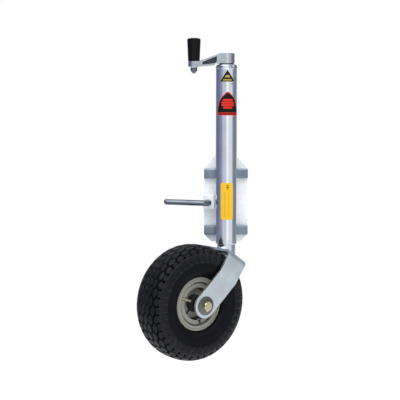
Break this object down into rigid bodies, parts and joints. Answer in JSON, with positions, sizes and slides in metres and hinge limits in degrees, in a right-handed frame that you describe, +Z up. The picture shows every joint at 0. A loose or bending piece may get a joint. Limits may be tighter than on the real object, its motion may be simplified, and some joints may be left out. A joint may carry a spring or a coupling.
{
  "type": "trailer jack wheel",
  "caption": "Swing-up trailer jack wheel: crank-operated zinc-plated tube jack on a pivoting bracket with a lock pin and an offset castor fork with an air-filled tyre.",
  "frame": {"origin": "Centre of the four bolt holes, on the back face of the mounting plate, which is also on the swing pivot's axis", "axes": "+Z up along the jack's tube, +Y into the drawbar it is bolted to, +X to the right seen from the front; the grip and the lock pin's handle point to -X"},
  "size_m": [0.2486, 0.2256, 0.7142],
  "materials": {
    "zinc_plate": "bright zinc-plated steel",
    "cast_grey": "grey painted cast steel",
    "steel": "machined steel",
    "yellow_zinc": "yellow passivated zinc",
    "bronze": "plain bronze",
    "black_plastic": "moulded black plastic",
    "rim_plastic": "moulded grey plastic",
    "tyre_rubber": "black rubber with a block tread",
    "tube_rubber": "soft black rubber",
    "label_yellow": "printed film",
    "label_red": "printed film"
  },
  "bodies": {
    "mount": {"mount_plate": "zinc_plate", "lock_bushes": "zinc_plate", "pivot_spacer": "zinc_plate", "pivot_stud": "steel", "pivot_wear_washer": "black_plastic", "pivot_washer": "zinc_plate", "pivot_nut": "zinc_plate"},
    "swing": {"swing_plate": "zinc_plate", "upper_bar": "zinc_plate", "lower_bar": "zinc_plate", "outer_tube": "zinc_plate", "top_housing": "zinc_plate", "top_bush": "bronze", "thrust_race_upper": "steel", "boss_washer": "black_plastic", "plunger_housing": "zinc_plate", "plunger_spring": "steel", "hazard_label": "label_yellow", "panel_label": "label_red", "care_label": "label_yellow"},
    "plunger": {"plunger_collar": "steel"},
    "pin": {"lock_pin": "zinc_plate", "pin_circlip": "steel"},
    "crank": {"spindle": "steel", "spindle_collar": "steel", "collar_pin": "steel", "thrust_race_lower": "steel", "thrust_balls": "steel", "crank_arm": "cast_grey", "crank_pin": "steel", "grip_bolt": "zinc_plate", "grip_washer": "zinc_plate", "grip_nut": "zinc_plate"},
    "grip": {"crank_grip": "black_plastic", "grip_cap": "black_plastic"},
    "lift": {"lift_nut": "bronze", "nut_circlip": "steel"},
    "leg": {"inner_tube": "zinc_plate", "head_bush": "steel", "fork": "zinc_plate", "axle_bolt": "yellow_zinc", "axle_washers": "zinc_plate", "axle_nut": "yellow_zinc", "axle_sleeve": "steel", "axle_spacers": "zinc_plate", "bearing_inner_rings": "steel"},
    "wheel": {"rim_near_half": "rim_plastic", "rim_far_half": "rim_plastic", "rim_screws": "steel", "bearing_outer_rings": "steel", "bearing_balls": "steel", "hub_caps": "black_plastic", "tyre": "tyre_rubber", "air_tube": "tube_rubber", "valve_stem": "zinc_plate", "valve_cap": "zinc_plate"}
  },
  "joints": [
    {"name": "swing_up", "type": "hinge", "parent": "mount", "child": "swing", "pos_m": [0, 0, 0], "axis": [0, 1, 0], "range_deg": [-90, 90]},
    {"name": "pin_slide", "type": "slide", "parent": "swing", "child": "plunger", "axis": [0, 1, 0], "range_m": [0, 0.011]},
    {"name": "pin_turn", "type": "hinge", "parent": "plunger", "child": "pin", "pos_m": [-0.04, -0.05, 0], "axis": [0, 1, 0], "range_deg": [0, 90]},
    {"name": "lift", "type": "slide", "parent": "swing", "child": "lift", "axis": [0, 0, -1], "range_m": [0, 0.2]},
    {"name": "crank_turn", "type": "hinge", "parent": "swing", "child": "crank", "pos_m": [0, -0.06415, 0.3], "axis": [0, 0, 1], "range_deg": [-14401, 0]},
    {"name": "grip_spin", "type": "hinge", "parent": "crank", "child": "grip", "pos_m": [-0.073, -0.06415, 0.34], "axis": [0, 0, 1], "continuous": true},
    {"name": "castor", "type": "hinge", "parent": "lift", "child": "leg", "pos_m": [0, -0.06415, 0.2], "axis": [0, 0, 1], "continuous": true},
    {"name": "wheel_spin", "type": "hinge", "parent": "leg", "child": "wheel", "pos_m": [-0.07965, -0.12461, -0.216], "axis": [0.6046, -0.7965, 0], "continuous": true}
  ],
  "couplings": [
    {"joint": "crank_turn", "follows": "lift", "rad_per_m": -1256.6}
  ]
}
